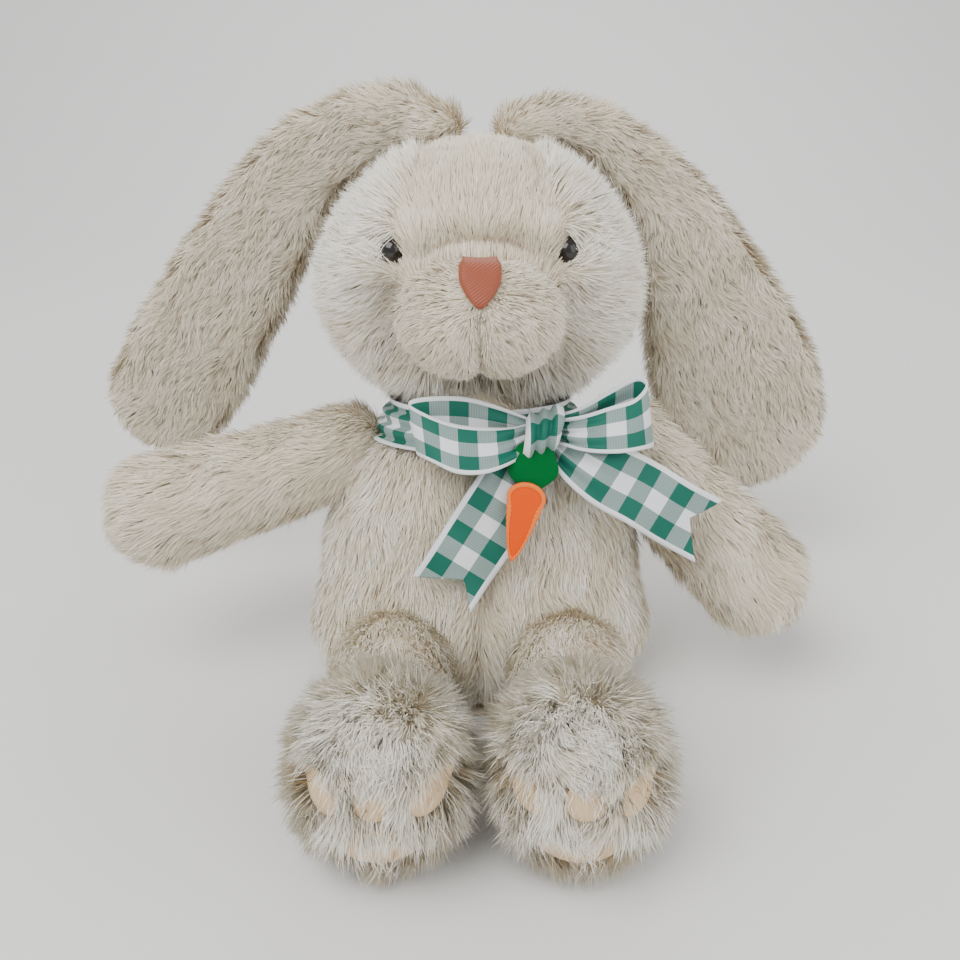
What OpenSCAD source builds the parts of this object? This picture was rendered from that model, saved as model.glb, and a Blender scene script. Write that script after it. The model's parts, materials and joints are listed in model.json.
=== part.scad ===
// Sitting plush rabbit with long drooping ears, a gingham neck bow and a felt carrot charm.
// Millimetres. The floor is z = 0, the rabbit looks along -Y, and its own left side is +X.
// The head, the torso, the arms and the bow lean back together: inside lean(), y runs from
// the chest to the back and z runs along the spine. The legs and the tail lie on the floor.

/* [Posture] */
// Backward lean of the spine, in degrees
recline = 18; // [12:1:22]
// Droop of the right arm below level, in degrees
right_arm_droop = 14; // [8:1:22]
// Droop of the left arm below level, in degrees
left_arm_droop = 42; // [30:1:43]
// How far each arm reaches forward, in degrees
arm_reach = 9; // [6:1:14]

/* [Torso] */
// Width across the hips
torso_w = 120; // [110:1:128]
// Depth from the belly to the back
torso_d = 94; // [88:1:102]
// Length along the spine
torso_l = 120; // [112:1:126]
// Depth of the rounded bottom that the toy's weight presses flat
seat_sink = 14; // [12:1:18]
// Thickness of the seat panel
seat_t = 2; // [1.5:0.5:3]

/* [Head] */
// Width across the cheeks
head_w = 126; // [116:1:134]
// Height of the head, and its depth from the brow to the nape
head_round = 112; // [104:1:120]
// Width of the middle panel over the crown
gusset_w = 52; // [40:1:60]
// Width of the muzzle
muzzle_w = 60; // [52:1:66]
// Height and depth of the muzzle
muzzle_round = 45; // [38:1:50]
// How far the muzzle stands out of the face
muzzle_out = 19; // [14:1:22]
// Radius of the filling that joins the head to the torso
neck_r = 32; // [26:1:34]
// Width of the embroidered nose
nose_w = 16; // [12:1:20]
// Height of the embroidered nose
nose_h = 19; // [14:1:22]

/* [Eyes] */
// Radius of an eye's dome
eye_r = 5; // [4:0.25:6]
// Distance between the eyes
eye_gap = 68; // [60:1:76]
// Radius of the ribbed stem behind an eye
eye_stem_r = 2; // [1.5:0.1:2.5]
// Radius of the locking washer on the stem
washer_r = 7.5; // [6:0.5:9]
// Thickness of the locking washer
washer_t = 2; // [1.5:0.25:3]

/* [Ears] */
// Thickness of an ear's outer fur layer
ear_fur_t = 9; // [6:0.5:10]
// Thickness of an ear's lining layer
ear_lining_t = 7; // [5:0.5:8]
// Radius of the gathered root of an ear
ear_root_r = 11.5; // [9:0.5:12.5]
// Widest half width of the right ear, which is creased lengthwise
right_ear_half_w = 27; // [22:1:29]
// Widest half width of the left ear, which lies open
left_ear_half_w = 36; // [28:1:38]

/* [Arms and legs] */
// Radius at the shoulder
shoulder_r = 19; // [16:1:21]
// Radius of the paw end
paw_r = 22.5; // [19:0.5:24]
// Length from the shoulder's centre to the paw's centre
arm_l = 62; // [54:1:68]
// Radius at the hip
hip_r = 27; // [23:1:28]
// Radius at the ankle
ankle_r = 25; // [21:1:27]
// Length from the hip's centre to the foot's centre
leg_l = 60; // [56:1:70]
// Width and depth of a foot
foot_round = 61; // [54:1:66]
// Height of a foot from the heel to the toes
foot_h = 70; // [62:1:76]
// Gap between the two feet
feet_gap = 2.5; // [1.5:0.5:12]
// Radius of the tail
tail_r = 20; // [16:1:22]

/* [Bow and carrot] */
// Width of the ribbon
ribbon_w = 25; // [18:1:28]
// Thickness of a pressed ribbon layer
ribbon_t = 0.8; // [0.6:0.1:1.2]
// Length of the right tail of the bow
right_tail_l = 64; // [50:1:72]
// Length of the left tail of the bow
left_tail_l = 62; // [50:1:72]
// Length of the carrot's root
carrot_l = 23.5; // [19:0.5:28]
// Width of the carrot's root
carrot_w = 14; // [10:1:16]
// Thickness of the carrot's felt
felt_t = 1.6; // [1.2:0.1:2.2]

/* [Cloth and fits] */
// Thickness of the plush cover, backing and pressed pile together
cover_t = 4; // [3:0.5:6]
// Gap between a cover and its filling, and between two panels at a seam
seam_gap = 0.3; // [0.2:0.1:0.5]
// Gap round a limb's root where it turns in its seat
seat_gap = 0.6; // [0.5:0.1:1]
// Radial gap between an eye's stem and its washer
washer_fit = 0.05; // [0.02:0.01:0.1]

/* [Hidden] */
$fn = 48;

LEFT = 1;
RIGHT = -1;
big = 600;                      // reaches past the whole toy
plush_colour = "#d8d0c2";
pile_colour = "#cfc6b6";
filling_colour = "#f4f2ec";

// Spine frame: places along the torso and the head
torso_power = 2.5;              // squareness of the torso's outline
torso_taper = 0.1;              // share of its width lost between the middle and the neck
torso_steps = 22;
torso_mid = torso_l / 2 - seat_sink;
torso_top = torso_mid + torso_l / 2;
pouch_size = [62, 50, 30];
pouch_at = [0, torso_mid * sin(recline) - 3, seat_t + cover_t + pouch_size.z / 2];
neck_at = [0, 0, torso_top];
head_mid = torso_top + head_round / 2 + 2;
head_at = [0, 0, head_mid];
muzzle_drop = 17;
muzzle_at = [0, -head_round / 2 - muzzle_out + muzzle_round / 2, head_mid - muzzle_drop];
nose_mid = muzzle_at.z + muzzle_round / 2 - nose_h * 0.62;
nose_t = 1.1;
eye_rise = 7;
eye_turn = 30;                  // an eye looks this far outward

// Shoulders: an arm sinks arm_sink into the torso's flank at its root
shoulder_rise = torso_l * 0.375;
arm_sink = 16.5;
shoulder_x = torso_w / 2 + (shoulder_r + paw_r) / 2 - arm_sink;
shoulder_z = torso_mid + shoulder_rise;
shoulder_y = -6;
wad_r = 9;                      // the knot of filling that a limb turns on

// Hips and feet, in the floor frame
foot_x = (foot_round + feet_gap) / 2;
hip_x = foot_x + 1;
hip_z = hip_r + seat_t + seat_gap;
hip_y = -torso_d / 2 + 9;
hip_at = [hip_x, hip_y, hip_z];
foot_rise = foot_h / 2;
foot_at = [foot_x, hip_y - leg_l, foot_rise];
leg_short = 16;                 // the leg's own tube ends this far before the foot's centre
leg_dir = foot_at - hip_at;
leg_reach = norm(leg_dir) - leg_short;
toe_pad_r = 5.5;
toe_pad_spread = 19;
toe_pad_rise = 10;
toe_pad_dip = 3;                // the outer pads sit this much lower than the middle one
sole_pad_w = 34;
sole_pad_h = 24;
sole_pad_drop = 13;
pad_t = 1.4;

tail_z = tail_r + 1;
tail_y = torso_d / 2 + 22;
tail_at = [0, tail_y, tail_z];

// Bow: a band bunched up in the groove under the head, and flat layers in front of the chest
band_fit = 0.6;
band_h = 9;
band_drop = 5.6;                // the band's lower edge lies this far below the torso's top
right_tail_swing = 33;          // degrees off the spine
left_tail_swing = -62;
chest_y = -torso_d / 2;
tail_y_face = chest_y - 1.2;    // back face of the bow's tails
knot_at = [22, chest_y - 1.5, torso_top - 1];
knot_size = [18, 10, 15];
loop_t = 7;
loop_forward = 4.5;             // the loops lie in front of the tails
carrot_gap = 0.5;
carrot_face = knot_at.y - knot_size.y / 2 - carrot_gap;
carrot_top_r = 9;
carrot_lean = 13;               // degrees off the spine
carrot_pivot = [knot_at.x - 3, 0, knot_at.z - knot_size.z / 2 - 3];
stitch_w = 0.8;
stitch_t = 0.5;
stitch_inset = 0.6;             // the stitching is this much smaller than the root
stitch_end = 4.5;               // its inner edge ends this far before the root's tip
layer_gap = 0.05;               // between two layers of felt

module lean() {
    rotate([-recline, 0, 0]) children();
}

module ellipsoid(w, d, h) {
    scale([w / 2, d / 2, h / 2]) sphere(r = 1);
}

// A turned egg shape, length l along Z and w across
module egg(w, l, steps = 20) {
    rotate_extrude() polygon([for (i = [0 : steps])
        let (a = 180 * i / steps) [w / 2 * max(sin(a), 0), -l / 2 * cos(a)]]);
}

// Half of space on the +X side of x = gap / 2, or its mirror image
module half_space(side, gap = 0) {
    translate([side > 0 ? gap / 2 : -big - gap / 2, -big / 2, -big / 2]) cube(big);
}

module floor_cut(height) {
    translate([-big / 2, -big / 2, height - big]) cube(big);
}

// Outline of a round-ended tube: radius r0 at the root, r1 at the far end
function tube_outline(r0, r1, l, steps = 9) = concat(
    [for (i = [0 : steps]) [r0 * sin(90 * i / steps), -r0 * cos(90 * i / steps)]],
    [for (i = [0 : steps]) [r1 * cos(90 * i / steps), l + r1 * sin(90 * i / steps)]]
);

module round_tube(r0, r1, l, inset = 0) {
    rotate_extrude() polygon([for (p = tube_outline(r0 - inset, r1 - inset, l))
        [max(p.x, 0), p.y]]);
}

// Turns +Z to point along a direction
module aim(v) {
    rotate([0, acos(v.z / norm(v)), atan2(v.y, v.x)]) children();
}

/* Whole forms, each drawn smaller by inset */

module torso_form(inset = 0) {
    outline = [for (i = [0 : torso_steps])
        let (a = 180 * i / torso_steps, c = cos(a), s = sin(a), p = 2 / torso_power)
        [(torso_w / 2 - inset) * pow(max(s, 0), p) * (1 + torso_taper * min(c, 0)),
         -sign(c) * (torso_l / 2 - inset) * pow(abs(c), p)]];
    depth_share = (torso_d / 2 - inset) / (torso_w / 2 - inset);
    lean() translate([0, 0, torso_mid]) scale([1, depth_share, 1])
        rotate_extrude() polygon(outline);
}

module head_form(inset = 0) {
    lean() translate(head_at) rotate([0, 90, 0])
        egg(head_round - 2 * inset, head_w - 2 * inset);
}

module muzzle_form(inset = 0) {
    lean() translate(muzzle_at) rotate([0, 90, 0])
        egg(muzzle_round - 2 * inset, muzzle_w - 2 * inset);
}

module foot_form(side, inset = 0) {
    translate([side * foot_at.x, foot_at.y, foot_at.z])
        egg(foot_round - 2 * inset, foot_h - 2 * inset);
}

module leg_form(side, inset = 0) {
    translate([side * hip_at.x, hip_at.y, hip_at.z])
        aim([side * leg_dir.x, leg_dir.y, leg_dir.z])
            round_tube(hip_r, ankle_r, leg_reach, inset);
}

module arm_form(side, inset = 0) {
    droop = side == LEFT ? left_arm_droop : right_arm_droop;
    lean() translate([side * shoulder_x, shoulder_y, shoulder_z])
        aim([side * cos(droop) * cos(arm_reach), -sin(arm_reach), -sin(droop) * cos(arm_reach)])
            round_tube(shoulder_r, paw_r, arm_l, inset);
}

module tail_form(inset = 0) {
    translate(tail_at) sphere(r = tail_r - inset);
}

module shoulder_ball(side, r) {
    lean() translate([side * shoulder_x, shoulder_y, shoulder_z]) sphere(r = r);
}

module hip_ball(side, r) {
    translate([side * hip_at.x, hip_at.y, hip_at.z]) sphere(r = r);
}

module neck_ball(r) {
    lean() translate(neck_at) sphere(r = r);
}

// Everything that turns in the torso, with its running gap
module torso_seats() {
    neck_ball(neck_r + seat_gap);
    translate(tail_at) sphere(r = tail_r + seat_gap);
    for (side = [LEFT, RIGHT]) {
        shoulder_ball(side, shoulder_r + seat_gap);
        hip_ball(side, hip_r + seat_gap);
    }
}

/* Torso */

// The panel fills the flat the toy sits on, out to the torso's own outline
module seat_panel() {
    color(pile_colour) intersection() {
        torso_form();
        translate([-big / 2, -big / 2, 0]) cube([big, big, seat_t]);
    }
}

// Side seams run up the torso's flanks, and the belly seam up its front
module torso_shell() {
    difference() {
        torso_form();
        torso_form(cover_t);
        floor_cut(seat_t + seam_gap);
        torso_seats();
    }
}

module torso_front(side) {
    color(plush_colour) difference() {
        torso_shell();
        half_space(-side, -seam_gap);
        lean() translate([-big / 2, -seam_gap / 2, -big / 2]) cube(big);
    }
}

module torso_back() {
    color(plush_colour) difference() {
        torso_shell();
        lean() translate([-big / 2, seam_gap / 2 - big, -big / 2]) cube(big);
    }
}

module pouch_form(inset = 0) {
    translate(pouch_at)
        ellipsoid(pouch_size.x - 2 * inset, pouch_size.y - 2 * inset, pouch_size.z - 2 * inset);
}

module torso_stuffing() {
    color(filling_colour) difference() {
        torso_form(cover_t + seam_gap);
        floor_cut(seat_t + seam_gap);
        torso_seats();
        pouch_form(-seam_gap);
    }
}

module pellet_pouch() {
    color("#e8e4da") pouch_form();
}

module neck_stuffing() {
    color(filling_colour) neck_ball(neck_r);
}

module tail_cover() {
    color(plush_colour) difference() {
        tail_form();
        tail_form(cover_t);
    }
}

module tail_stuffing() {
    color(filling_colour) tail_form(cover_t + seam_gap);
}

/* Head */

// An eye's place on the cheek, with +Z looking out along its stem
module at_eye(side) {
    share_x = (eye_gap / 2) / (head_w / 2);
    share_z = eye_rise / (head_round / 2);
    y = -head_round / 2 * sqrt(1 - share_x * share_x - share_z * share_z);
    lean() translate([side * eye_gap / 2, y, head_mid + eye_rise])
        aim([side * sin(eye_turn), -cos(eye_turn), 0.08]) children();
}

eye_sink = eye_r * 1.1;         // the dome's centre lies this deep under the pile
eye_back = 0.35;                // its flat back lies this share of its radius behind the centre
backing_t = 1.5;                // cloth held between the dome and the washer
washer_depth = eye_sink + eye_r * eye_back + backing_t;
stem_l = washer_depth + washer_t + 2.5;

module eye(side) {
    color("#17130f") at_eye(side) {
        translate([0, 0, -eye_sink]) difference() {
            sphere(r = eye_r);
            translate([-big / 2, -big / 2, -big - eye_r * eye_back]) cube(big);
        }
        translate([0, 0, -stem_l]) cylinder(r = eye_stem_r, h = stem_l - eye_sink);
    }
}

module eye_washer(side) {
    color("#e9e7e0") at_eye(side)
        translate([0, 0, -washer_depth - washer_t]) difference() {
            cylinder(r = washer_r, h = washer_t);
            translate([0, 0, -1]) cylinder(r = eye_stem_r + washer_fit, h = washer_t + 2);
        }
}

// Room for an eye, its stem and its washer
module eye_room() {
    for (side = [LEFT, RIGHT]) at_eye(side) {
        translate([0, 0, -eye_sink]) sphere(r = eye_r + seam_gap);
        translate([0, 0, -eye_sink]) cylinder(r = eye_r * 0.8, h = eye_sink + 6);
        translate([0, 0, -stem_l - 1]) cylinder(r = eye_stem_r + seam_gap, h = stem_l);
        translate([0, 0, -stem_l - 1])
            cylinder(r = washer_r + seam_gap, h = stem_l + 1 - washer_depth + seam_gap);
    }
}

module ear_root_at(side, r) {
    lean() translate([side * ear_root.x, ear_root.y, ear_root.z]) sphere(r = r);
}

module head_seats() {
    neck_ball(neck_r + seat_gap);
    eye_room();
    for (side = [LEFT, RIGHT]) ear_root_at(side, ear_root_r + seat_gap);
}

module head_shell() {
    difference() {
        head_form();
        head_form(cover_t);
        head_seats();
    }
}

module head_side(side) {
    color(plush_colour) difference() {
        head_shell();
        half_space(-side, -gusset_w - seam_gap);
    }
}

module gusset_strip() {
    translate([-(gusset_w - seam_gap) / 2, -big / 2, -big / 2])
        cube([gusset_w - seam_gap, big, big]);
}

// The middle panel runs from the nose over the crown to the nape
module head_gusset() {
    color(plush_colour) difference() {
        intersection() {
            head_shell();
            gusset_strip();
        }
        lean() translate([-big / 2, seam_gap / 2 - big, muzzle_at.z - big]) cube(big);
    }
}

// The chin panel runs from the muzzle down to the neck
module head_chin() {
    color(plush_colour) intersection() {
        head_shell();
        gusset_strip();
        lean() translate([-big / 2, -seam_gap / 2 - big, muzzle_at.z - seam_gap - big]) cube(big);
    }
}

module head_stuffing() {
    color(filling_colour) difference() {
        head_form(cover_t + seam_gap);
        head_seats();
    }
}

module muzzle_half(side) {
    color("#cdbfae") difference() {
        muzzle_form();
        muzzle_form(cover_t);
        head_form(-seam_gap);
        half_space(-side, -seam_gap);
    }
}

module muzzle_stuffing() {
    color(filling_colour) difference() {
        muzzle_form(cover_t + seam_gap);
        head_form(-seam_gap);
    }
}

// Right half of a rounded shield, from its point up to its flat top, as [half width, height]
function shield_side(steps = 12) = [for (i = [0 : steps])
    let (v = i / steps, spread = pow(sin(90 * min(v / 0.65, 1)), 0.85),
         corner = v > 0.85 ? 1 - 0.25 * pow((v - 0.85) / 0.15, 2) : 1)
        [nose_w / 2 * spread * corner, nose_h * (v - 0.5)]];

module embroidered_nose() {
    half = shield_side();
    color("#c47f62") intersection() {
        lean() translate([0, muzzle_at.y, nose_mid]) rotate([90, 0, 0]) linear_extrude(big)
            polygon(concat(half, [for (i = [len(half) - 1 : -1 : 1]) [-half[i].x, half[i].y]]));
        difference() {
            muzzle_form(-nose_t);
            muzzle_form(-0.1);
        }
    }
}

/* Ears: a band of cloth that follows a drooping line beside the head */

ear_root = [16, 14, head_mid + head_round / 2 + 1];
ear_hang = 16;                  // the ears hang this much steeper than the spine, in degrees
ear_plane = ear_root.y + 9.5;    // the ears fall behind their roots

// Middle line of each ear, as steps out and up from its root, with its share of the half width
right_ear_line = [
    [1, 1, 0.26], [13, 8, 0.48], [32, 3, 0.55], [52, -7, 0.62], [68, -25, 0.73], [82, -47, 0.84],
    [98, -71, 0.94], [114, -97, 1], [126, -116, 0.92]
];
left_ear_line = [
    [1, 1, 0.2], [12, 7, 0.26], [31, 3, 0.28], [49, -11, 0.35], [65, -29, 0.47], [77, -55, 0.68],
    [88, -81, 0.88], [99, -108, 1], [107, -128, 0.92]
];

function line_dir(p, i) = let (a = p[max(i - 1, 0)], b = p[min(i + 1, len(p) - 1)])
    [b.x - a.x, b.y - a.y] / norm([b.x - a.x, b.y - a.y]);

function band_edge(p, half_w, side) = [for (i = [0 : len(p) - 1])
    let (d = line_dir(p, i)) [p[i].x - side * d.y * half_w * p[i].z,
                              p[i].y + side * d.x * half_w * p[i].z]];

function band_tip(p, half_w, steps = 5) =
    let (n = len(p) - 1, d = line_dir(p, n), w = half_w * p[n].z)
    [for (i = [1 : steps - 1]) let (a = 90 - 180 * i / steps)
        [p[n].x + w * (0.75 * d.x * cos(a) - d.y * sin(a)),
         p[n].y + w * (0.75 * d.y * cos(a) + d.x * sin(a))]];

function reversed(v) = [for (i = [len(v) - 1 : -1 : 0]) v[i]];

module ear_plate(side, from, thickness) {
    line = side == LEFT ? left_ear_line : right_ear_line;
    half_w = side == LEFT ? left_ear_half_w : right_ear_half_w;
    outline = concat(band_edge(line, half_w, 1), band_tip(line, half_w),
                     reversed(band_edge(line, half_w, -1)));
    lean() translate([side * ear_root.x, ear_plane, ear_root.z])
        rotate([ear_hang, 0, 0]) translate([0, from + thickness, 0]) rotate([90, 0, 0])
            linear_extrude(thickness) polygon([for (p = outline) [side * p.x, p.y]]);
}

ear_t = ear_fur_t + ear_lining_t + seam_gap;

module ear_fur(side) {
    color(plush_colour) union() {
        ear_plate(side, -ear_t / 2, ear_fur_t);
        ear_root_at(side, ear_root_r);
    }
}

module ear_lining(side) {
    color(pile_colour) difference() {
        ear_plate(side, -ear_t / 2 + ear_fur_t + seam_gap, ear_lining_t);
        ear_root_at(side, ear_root_r + seam_gap);
    }
}

/* Arms */

module arm_cover(side) {
    color(plush_colour) difference() {
        arm_form(side);
        arm_form(side, cover_t);
    }
}

module arm_stuffing(side) {
    color(filling_colour) difference() {
        arm_form(side, cover_t + seam_gap);
        shoulder_ball(side, wad_r + seat_gap);
    }
}

module shoulder_wad(side) {
    color(filling_colour) shoulder_ball(side, wad_r);
}

/* Legs and feet */

module leg_cover(side) {
    color(plush_colour) difference() {
        leg_form(side);
        leg_form(side, cover_t);
    }
}

module leg_stuffing(side) {
    color(filling_colour) difference() {
        leg_form(side, cover_t + seam_gap);
        hip_ball(side, wad_r + seat_gap);
    }
}

module hip_wad(side) {
    color(filling_colour) hip_ball(side, wad_r);
}

module foot_cover(side) {
    color(plush_colour) difference() {
        foot_form(side);
        foot_form(side, cover_t);
        leg_form(side, -seam_gap);
    }
}

module foot_stuffing(side) {
    color(filling_colour) difference() {
        foot_form(side, cover_t + seam_gap);
        leg_form(side, -seam_gap);
    }
}

// A pad is a thin piece of suede that follows the sole
module pad_layer(side) {
    difference() {
        foot_form(side, -pad_t);
        foot_form(side, -0.1);
    }
}

// place: -1 next to the other foot, 0 in the middle, 1 on the outside
module toe_pad(side, place) {
    color("#d9ab8a") intersection() {
        pad_layer(side);
        translate([side * (foot_at.x + place * toe_pad_spread), foot_at.y,
                   foot_at.z + toe_pad_rise - toe_pad_dip * abs(place)])
            rotate([90, 0, 0]) cylinder(r = toe_pad_r, h = foot_round);
    }
}

module sole_pad(side) {
    color("#d9ab8a") intersection() {
        pad_layer(side);
        translate([side * foot_at.x, foot_at.y, foot_at.z - sole_pad_drop])
            rotate([90, 0, 0]) linear_extrude(foot_round) scale([1, sole_pad_h / sole_pad_w])
                circle(r = sole_pad_w / 2);
    }
}

/* Bow */

module ribbon_neck_band() {
    inner_r = neck_r + seat_gap + band_fit;
    color("#2f7d6b") lean() translate([0, 0, torso_top - band_drop]) difference() {
        cylinder(r = inner_r + ribbon_t, h = band_h);
        translate([0, 0, -1]) cylinder(r = inner_r, h = band_h + 2);
    }
}

module bow_knot() {
    color("#2f7d6b") lean() translate(knot_at)
        intersection() {
            cube(knot_size, center = true);
            ellipsoid(knot_size.x * 1.35, knot_size.y * 1.35, knot_size.z * 1.35);
        }
}

module bow_loop(side) {
    reach = side == LEFT ? 34 : 40;
    rise = side == LEFT ? 14 : -4;
    root = knot_at + [side * (knot_size.x / 2 + 0.4), -loop_forward, 0];
    color("#2f7d6b") difference() {
        lean() translate(root + [side * reach / 2, 0, rise / 2])
            rotate([0, side * -atan(rise / reach), 0])
                ellipsoid(reach, loop_t, ribbon_w * 0.86);
        lean() translate(knot_at) cube(knot_size + [seam_gap, 4, 60], center = true);
    }
}

// A flat tail with a V notch in its end, hanging from under the knot
module bow_tail(l, swing) {
    notch = ribbon_w * 0.4;
    color("#2f7d6b") difference() {
        lean() translate([knot_at.x, tail_y_face, knot_at.z - 4]) rotate([0, swing, 0])
            rotate([90, 0, 0]) linear_extrude(ribbon_t) polygon([
                [-ribbon_w * 0.3, 0], [ribbon_w * 0.3, 0], [ribbon_w / 2, -14],
                [ribbon_w / 2, -l], [0, -l + notch], [-ribbon_w / 2, -l], [-ribbon_w / 2, -14]
            ]);
        lean() translate(knot_at) cube(knot_size + [seam_gap, 4, seam_gap], center = true);
    }
}

module bow_tail_left() {
    difference() {
        bow_tail(left_tail_l, left_tail_swing);
        right_tail_room();
    }
}

module bow_tail_right() {
    bow_tail(right_tail_l, right_tail_swing);
}

// The left tail starts beside the right one, so the two layers stay apart
module right_tail_room() {
    lean() translate([knot_at.x, tail_y_face, knot_at.z - 4]) rotate([0, right_tail_swing, 0])
        translate([-ribbon_w / 2 - seam_gap, -5, -big]) cube([ribbon_w + 2 * seam_gap, 10, big + 9]);
}

/* Carrot charm, which swings on a stitch under the knot */

module at_carrot() {
    lean() translate([carrot_pivot.x, carrot_face, carrot_pivot.z]) rotate([0, carrot_lean, 0])
        rotate([90, 0, 0]) children();
}

function carrot_outline(w, l) = concat(
    [for (i = [0 : 8]) let (a = 180 * i / 8) [w / 2 * cos(a), w / 2.6 * sin(a)]],
    [for (i = [1 : 6]) let (t = i / 6) [-w / 2 * pow(1 - t, 0.62), -l * t]],
    [for (i = [5 : -1 : 1]) let (t = i / 6) [w / 2 * pow(1 - t, 0.62), -l * t]]
);

carrot_body_at = [0, -carrot_top_r * 1.3, 0];
top_ripple = 0.06;              // depth of the lobes round the leafy top

function carrot_top_outline() = [for (a = [0 : 12 : 348])
    let (r = carrot_top_r * (1 + top_ripple * cos(5 * a))) [r * cos(a), r * sin(a)]];

module carrot_top() {
    color("#2f9a55") at_carrot() linear_extrude(felt_t) polygon(carrot_top_outline());
}

// The root is sewn on over the leafy top
module carrot_root() {
    color("#e8702a") at_carrot() translate(carrot_body_at + [0, 0, felt_t + layer_gap])
        linear_extrude(felt_t) polygon(carrot_outline(carrot_w, carrot_l));
}

module carrot_stitching() {
    color("#ff8a3c") at_carrot() translate(carrot_body_at + [0, 0, 2 * (felt_t + layer_gap)])
        linear_extrude(stitch_t) difference() {
            polygon(carrot_outline(carrot_w - stitch_inset, carrot_l - stitch_inset));
            polygon(carrot_outline(carrot_w - stitch_inset - 2 * stitch_w, carrot_l - stitch_end));
        }
}

seat_panel();
torso_front(LEFT);  // torso_front_left
torso_front(RIGHT);  // torso_front_right
torso_back();
torso_stuffing();
pellet_pouch();
neck_stuffing();
head_side(LEFT);  // head_side_left
head_side(RIGHT);  // head_side_right
head_gusset();
head_chin();
head_stuffing();
muzzle_half(LEFT);  // muzzle_left
muzzle_half(RIGHT);  // muzzle_right
muzzle_stuffing();
embroidered_nose();
eye(LEFT);  // left_eye
eye(RIGHT);  // right_eye
eye_washer(LEFT);  // left_eye_washer
eye_washer(RIGHT);  // right_eye_washer
ear_fur(LEFT);  // left_ear_fur
ear_lining(LEFT);  // left_ear_lining
ear_fur(RIGHT);  // right_ear_fur
ear_lining(RIGHT);  // right_ear_lining
arm_cover(LEFT);  // left_arm_cover
arm_stuffing(LEFT);  // left_arm_stuffing
shoulder_wad(LEFT);  // left_shoulder_wad
arm_cover(RIGHT);  // right_arm_cover
arm_stuffing(RIGHT);  // right_arm_stuffing
shoulder_wad(RIGHT);  // right_shoulder_wad
leg_cover(LEFT);  // left_leg_cover
leg_stuffing(LEFT);  // left_leg_stuffing
hip_wad(LEFT);  // left_hip_wad
foot_cover(LEFT);  // left_foot_cover
foot_stuffing(LEFT);  // left_foot_stuffing
sole_pad(LEFT);  // left_sole_pad
toe_pad(LEFT, -1);  // left_toe_pad_inner
toe_pad(LEFT, 0);  // left_toe_pad_middle
toe_pad(LEFT, 1);  // left_toe_pad_outer
leg_cover(RIGHT);  // right_leg_cover
leg_stuffing(RIGHT);  // right_leg_stuffing
hip_wad(RIGHT);  // right_hip_wad
foot_cover(RIGHT);  // right_foot_cover
foot_stuffing(RIGHT);  // right_foot_stuffing
sole_pad(RIGHT);  // right_sole_pad
toe_pad(RIGHT, -1);  // right_toe_pad_inner
toe_pad(RIGHT, 0);  // right_toe_pad_middle
toe_pad(RIGHT, 1);  // right_toe_pad_outer
tail_cover();
tail_stuffing();
ribbon_neck_band();
bow_knot();
bow_loop(LEFT);  // bow_loop_left
bow_loop(RIGHT);  // bow_loop_right
bow_tail_left();
bow_tail_right();
carrot_root();
carrot_top();
carrot_stitching();
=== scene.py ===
"""Looks of the sitting plush rabbit, built around its CAD frame. Metres, +Z up, it looks along -Y."""
import json
import math

import bpy
import numpy as np
from bpy.props import FloatProperty, FloatVectorProperty, PointerProperty
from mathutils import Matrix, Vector


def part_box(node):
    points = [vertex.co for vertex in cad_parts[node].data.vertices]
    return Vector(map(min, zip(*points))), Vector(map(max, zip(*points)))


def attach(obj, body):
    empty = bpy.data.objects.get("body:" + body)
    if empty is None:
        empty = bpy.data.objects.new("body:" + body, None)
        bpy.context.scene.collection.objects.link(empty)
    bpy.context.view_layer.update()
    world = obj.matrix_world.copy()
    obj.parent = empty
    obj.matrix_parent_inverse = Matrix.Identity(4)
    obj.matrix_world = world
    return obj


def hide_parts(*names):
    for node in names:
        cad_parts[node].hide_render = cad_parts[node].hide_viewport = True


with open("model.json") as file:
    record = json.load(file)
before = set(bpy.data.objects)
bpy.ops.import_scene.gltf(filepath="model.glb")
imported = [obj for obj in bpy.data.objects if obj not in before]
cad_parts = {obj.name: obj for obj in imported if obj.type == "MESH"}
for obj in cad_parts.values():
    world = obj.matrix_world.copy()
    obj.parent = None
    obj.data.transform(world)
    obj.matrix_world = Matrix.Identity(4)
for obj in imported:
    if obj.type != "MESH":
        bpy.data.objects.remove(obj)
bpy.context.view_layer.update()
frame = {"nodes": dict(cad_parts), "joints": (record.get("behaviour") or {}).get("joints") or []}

bl_info = {
    "name": "Plush Rabbit",
    "version": (1, 0, 0),
    "blender": (4, 5, 0),
    "location": "View3D > Sidebar > Rabbit",
    "description": "Builds the furry skins, the bow and the charm of a sitting plush rabbit",
    "category": "Object",
}

MM = 0.001
LEFT, RIGHT = 1, -1
SIDES = {LEFT: "left", RIGHT: "right"}
STRAIGHT_TO = 0.04045  # the sRGB curve is a straight line below this


def linear(code):
    """A colour written as sRGB hex, as linear RGBA."""
    parts = [int(code[i:i + 2], 16) / 255 for i in (1, 3, 5)]
    flat = [c / 12.92 if c <= STRAIGHT_TO else ((c + 0.055) / 1.055) ** 2.4 for c in parts]
    return (*flat, 1.0)


def colour(name, code, about):
    return FloatVectorProperty(name=name, description=about, subtype="COLOR", size=4,
                               min=0, max=1, default=linear(code))


def length(name, default, about):
    return FloatProperty(name=name, description=about, default=default, min=0, unit="LENGTH")


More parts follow.
